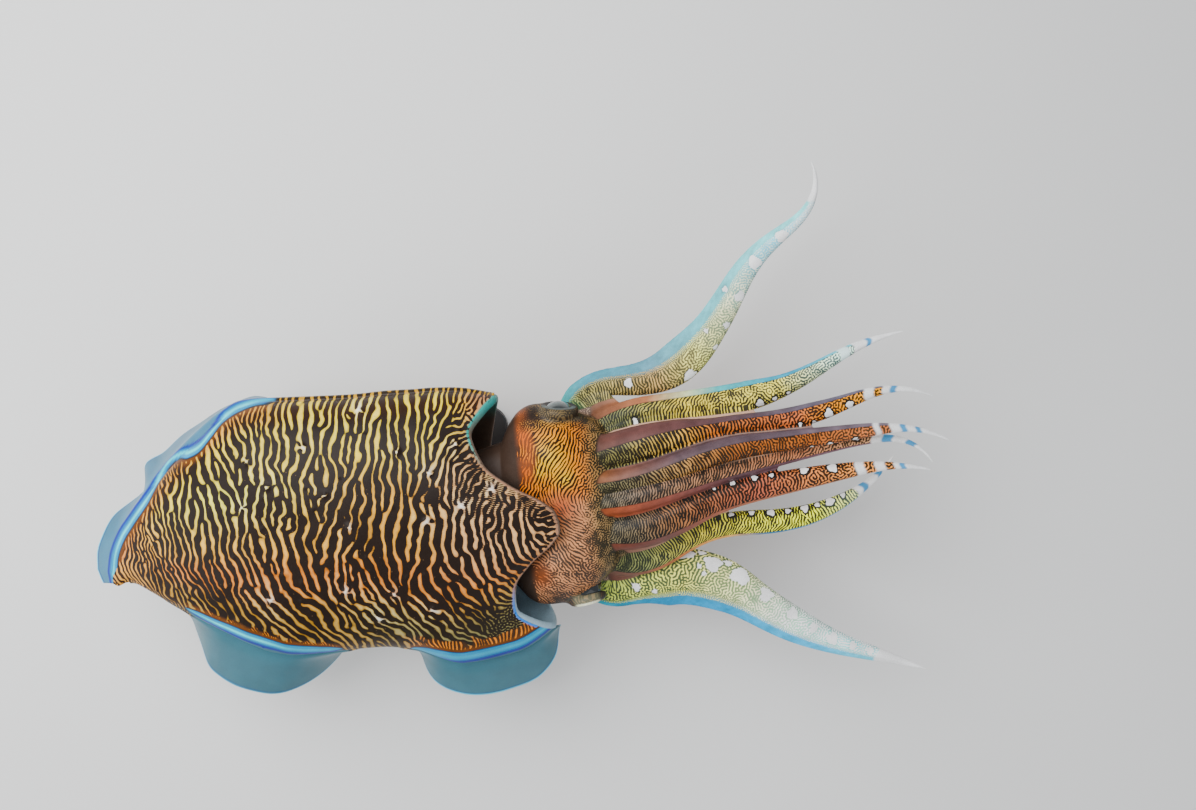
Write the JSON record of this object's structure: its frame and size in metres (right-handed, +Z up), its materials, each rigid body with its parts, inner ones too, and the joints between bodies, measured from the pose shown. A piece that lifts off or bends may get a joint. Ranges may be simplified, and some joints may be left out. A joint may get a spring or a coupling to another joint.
{
  "type": "pharaoh cuttlefish model",
  "caption": "Life-size pharaoh cuttlefish with zebra-striped mantle, blue-edged fins and spread arms, held level on a small display stand.",
  "frame": {"origin": "on the floor under the middle of the whole outline, arms and stand included", "axes": "+X from the tail toward the arms, +Y to the animal's left, +Z up"},
  "size_m": [0.5836, 0.3568, 0.144],
  "materials": {
    "mantle_skin": "satin, dark brown with narrow light lines",
    "fin_skin": "satin, grey-blue with a bright blue line along its root",
    "head_skin": "satin, orange-brown with dark reticulation",
    "arm_skin": "satin, brown with mauve bands and white spots",
    "eye_surface": "wet gloss",
    "inner_skin": "satin, grey",
    "beak_horn": "dark horn",
    "stand_plastic": "fine matt",
    "stand_steel": "brushed"
  },
  "bodies": {
    "root": {"mantle": "mantle_skin", "neck": "inner_skin", "head": "head_skin", "eye_left": "eye_surface", "eye_right": "eye_surface", "fin_left": "fin_skin", "fin_right": "fin_skin", "funnel": "inner_skin", "mouth": "beak_horn", "arm_left_1_base": "arm_skin", "arm_left_1_end": "arm_skin", "arm_left_2_base": "arm_skin", "arm_left_2_end": "arm_skin", "arm_left_3_base": "arm_skin", "arm_left_3_end": "arm_skin", "arm_left_4_base": "arm_skin", "arm_left_4_middle": "arm_skin", "arm_left_4_end": "arm_skin", "arm_right_1_base": "arm_skin", "arm_right_1_end": "arm_skin", "arm_right_2_base": "arm_skin", "arm_right_2_end": "arm_skin", "arm_right_3_base": "arm_skin", "arm_right_3_end": "arm_skin", "arm_right_4_base": "arm_skin", "arm_right_4_middle": "arm_skin", "arm_right_4_end": "arm_skin", "stand_base": "stand_plastic", "stand_rod_rear": "stand_steel", "stand_rod_front": "stand_steel"}
  },
  "joints": []
}
